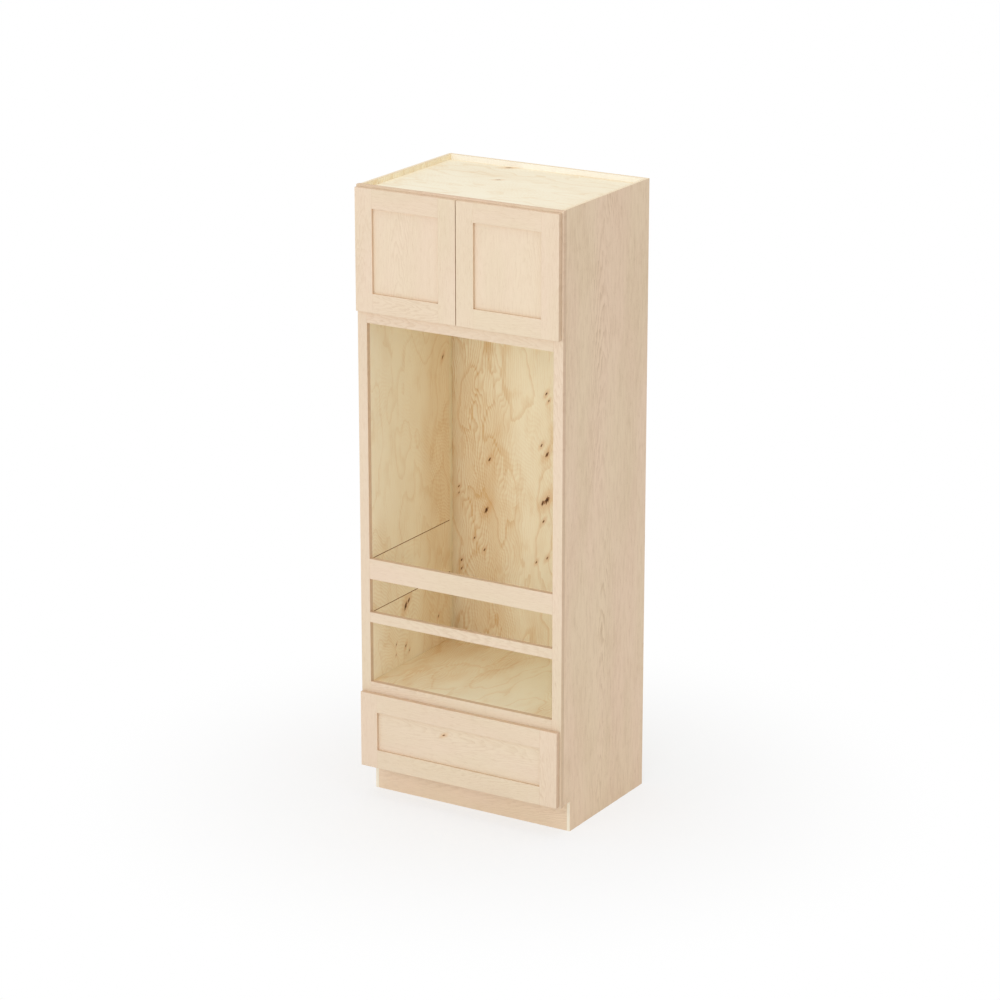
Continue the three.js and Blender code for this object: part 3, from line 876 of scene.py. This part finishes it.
def screw_tree():
    tree, nodes, given = new_tree("screw heads")
    radius, height = given["Radius"], given["Height"]
    sockets = {"Vertices": HEAD_SIDES, "Radius Top": radius * 0.62, "Radius Bottom": radius}
    sockets["Depth"] = height
    head = nodes.node("GeometryNodeMeshCone", {"fill_type": "NGON"}, sockets)
    bars = []
    for wide, narrow in ((1.0, SLOT_WIDTH), (SLOT_WIDTH, 1.0)):
        size = nodes.node("ShaderNodeCombineXYZ", None, {0: radius * wide, 1: radius * narrow, 2: height})
        slot = nodes.node("GeometryNodeMeshCube", None, {"Size": size})
        lift = nodes.node("ShaderNodeCombineXYZ", None, {2: height * 0.95})
        bars.append(nodes.node("GeometryNodeTransform", None, {"Geometry": slot, "Translation": lift}))
    cut = nodes.node("GeometryNodeMeshBoolean", {"operation": "DIFFERENCE"}, {0: head, 1: bars})
    set_on_points(nodes, given, cut)
    return tree


BUMPER_SIDES = 28


def bumper_tree():
    tree, nodes, given = new_tree("bumpers")
    radius, height = given["Radius"], given["Height"]
    sockets = {"Vertices": BUMPER_SIDES, "Side Segments": 3, "Fill Segments": 2, "Radius Top": radius * 0.8}
    sockets.update({"Radius Bottom": radius, "Depth": height})
    button = nodes.node("GeometryNodeMeshCone", {"fill_type": "NGON"}, sockets)
    set_on_points(nodes, given, button)
    return tree


screws = screw_tree()
bumpers = bumper_tree()
print("trees:", screws.name, "and", bumpers.name)

# %% Run a tree on points and keep the result as a plain mesh
def set_parts(name, tree, places, finish, body, slot, radius_mm, height_mm, seed=1):
    """places holds (point, facing) pairs in metres. The result rides on one body."""
    mesh = bpy.data.meshes.new(name)
    mesh.from_pydata([tuple(point) for point, _ in places], [], [])
    facing = mesh.attributes.new("facing", "FLOAT_VECTOR", "POINT")
    facing.data.foreach_set("vector", [v for _, way in places for v in way])
    piece = place_object(name, mesh)
    modifier = piece.modifiers.new("parts", "NODES")
    modifier.node_group = tree
    wanted = {"Radius": radius_mm * MM, "Height": height_mm * MM, "Seed": seed, "Finish": finish}
    for item in tree.interface.items_tree:
        if item.name in wanted:
            modifier[item.identifier] = wanted[item.name]
    evaluated = piece.evaluated_get(bpy.context.evaluated_depsgraph_get())
    made = bpy.data.meshes.new_from_object(evaluated)
    piece.modifiers.clear()
    piece.data = made
    if not made.materials:
        made.materials.append(finish)
    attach(piece, body)
    print(name, len(places), "parts,", len(made.polygons), "faces")
    return piece


# %% [markdown]
# Each hinge has two screws through its cup's wings into the door and two through its arm into the
# frame. The slides have three into the cavity wall and three into the drawer's side, four more
# hold the drawer's front from inside the box, and the last sit in the countersinks of the back.

# %% Set the screws
WING_DEPTH_MM = 0.25
WING_REACH_MM = 21.2
ARM_INSET_MM = 8.2
ARM_REACH_MM = 15
WEB_MM = 1.2
ALONG_SLIDE = (0.08, 0.5, 0.92)
FRONT_INSET = 0.09
FRONT_LOW = 0.045
FRONT_HIGH = 0.04


def hinge_screws(side, sign):
    wings = []
    arms = []
    for level in ("upper", "lower"):
        low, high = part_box(f"{side}_{level}_hinge_cup")
        middle = (low + high) / 2
        for way in (-1, 1):
            at = Vector((middle.x, high.y - WING_DEPTH_MM * MM, middle.z + way * WING_REACH_MM * MM))
            wings.append((at, TO_THE_BACK))
        low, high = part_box(f"{side}_{level}_hinge_arm")
        middle = (low + high) / 2
        inner = high.x if sign < 0 else low.x
        for way in (-1, 1):
            at = Vector((inner, high.y - ARM_INSET_MM * MM, middle.z + way * ARM_REACH_MM * MM))
            arms.append((at, (-sign, 0, 0)))
    door = f"{side}_door"
    cup = {"radius_mm": 3.1, "height_mm": 0.45, "seed": 3}
    set_parts(f"{side}_cup_screws", screws, wings, nickel, door, "nickel_steel", **cup)
    arm = {"radius_mm": 3.4, "height_mm": 1.5, "seed": 5}
    set_parts(f"{side}_arm_screws", screws, arms, nickel, "root", "nickel_steel", **arm)


def slide_screws(side, sign):
    low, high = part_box(f"{side}_slide_cabinet_member")
    web = (low.x if sign < 0 else high.x) - sign * WEB_MM * MM
    level = (low.z + high.z) / 2
    wall = [(Vector((web, low.y + (high.y - low.y) * at, level)), (-sign, 0, 0)) for at in ALONG_SLIDE]
    flat = {"radius_mm": 3.6, "height_mm": 0.4, "seed": 7}
    set_parts(f"{side}_wall_screws", screws, wall, zinc, "root", "zinc_steel", **flat)
    low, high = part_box(f"{side}_slide_drawer_member")
    web = (high.x if sign < 0 else low.x) + sign * WEB_MM * MM
    box = [(Vector((web, low.y + (high.y - low.y) * at, level)), (sign, 0, 0)) for at in ALONG_SLIDE]
    round_head = {"radius_mm": 3.6, "height_mm": 1.4, "seed": 9}
    set_parts(f"{side}_box_screws", screws, box, zinc, "drawer", "zinc_steel", **round_head)


for side, sign in SIDES.items():
    hinge_screws(side, sign)
    slide_screws(side, sign)

low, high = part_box("drawer_box_front")
front_places = [
    (Vector((x, high.y, z)), TO_THE_BACK)
    for x in (low.x + FRONT_INSET, high.x - FRONT_INSET)
    for z in (low.z + FRONT_LOW, high.z - FRONT_HIGH)
]
washer_head = {"radius_mm": 5.0, "height_mm": 2.2, "seed": 11}
set_parts("drawer_front_screws", screws, front_places, zinc, "drawer", "zinc_steel", **washer_head)
sunk = [(point - Vector(way) * HEAD_DEPTH_MM * MM, way) for point, way in back_screws]
sunk_head = {"radius_mm": HEAD_MM, "height_mm": 0.35, "seed": 13}
set_parts("back_screws", screws, sunk, zinc, "root", "zinc_steel", **sunk_head)

# %% [markdown]
# Bumpers keep wood from knocking on wood. They sit on the backs of the doors, at the corners that
# meet the frame, and on all four corners of the drawer's front, and they are as thick as the gap.

# %% Set the bumpers
BUMPER_INSET = 16 * MM
BUMPER = {"radius_mm": 4.0, "height_mm": 1.5}


def bumper_places(nodes, corners):
    boxes = [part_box(node) for node in nodes]
    low = Vector([min(box[0][axis] for box in boxes) for axis in range(3)])
    high = Vector([max(box[1][axis] for box in boxes) for axis in range(3)])
    places = []
    for right, top in corners:
        x = high.x - BUMPER_INSET if right else low.x + BUMPER_INSET
        z = high.z - BUMPER_INSET if top else low.z + BUMPER_INSET
        places.append((Vector((x, high.y, z)), TO_THE_BACK))
    return places


for side in SIDES:
    wood_of_door = [node for node in bodies[f"{side}_door"] if "door" in node]
    right = side == "left"
    places = bumper_places(wood_of_door, ((right, False), (right, True)))
    set_parts(f"{side}_door_bumpers", bumpers, places, rubber, f"{side}_door", "rubber", **BUMPER)
wood_of_front = [node for node in bodies["drawer"] if node.startswith("drawer_front")]
places = bumper_places(wood_of_front, ((False, False), (False, True), (True, False), (True, True)))
set_parts("drawer_bumpers", bumpers, places, rubber, "drawer", "rubber", **BUMPER)

# %% [markdown]
# ## Finish
#
# The finished unit has to fill the same box as its solids, so its box is printed.

# %% Print the unit's box and finish
low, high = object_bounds()
print("visual box", [round(v, 4) for v in high - low])
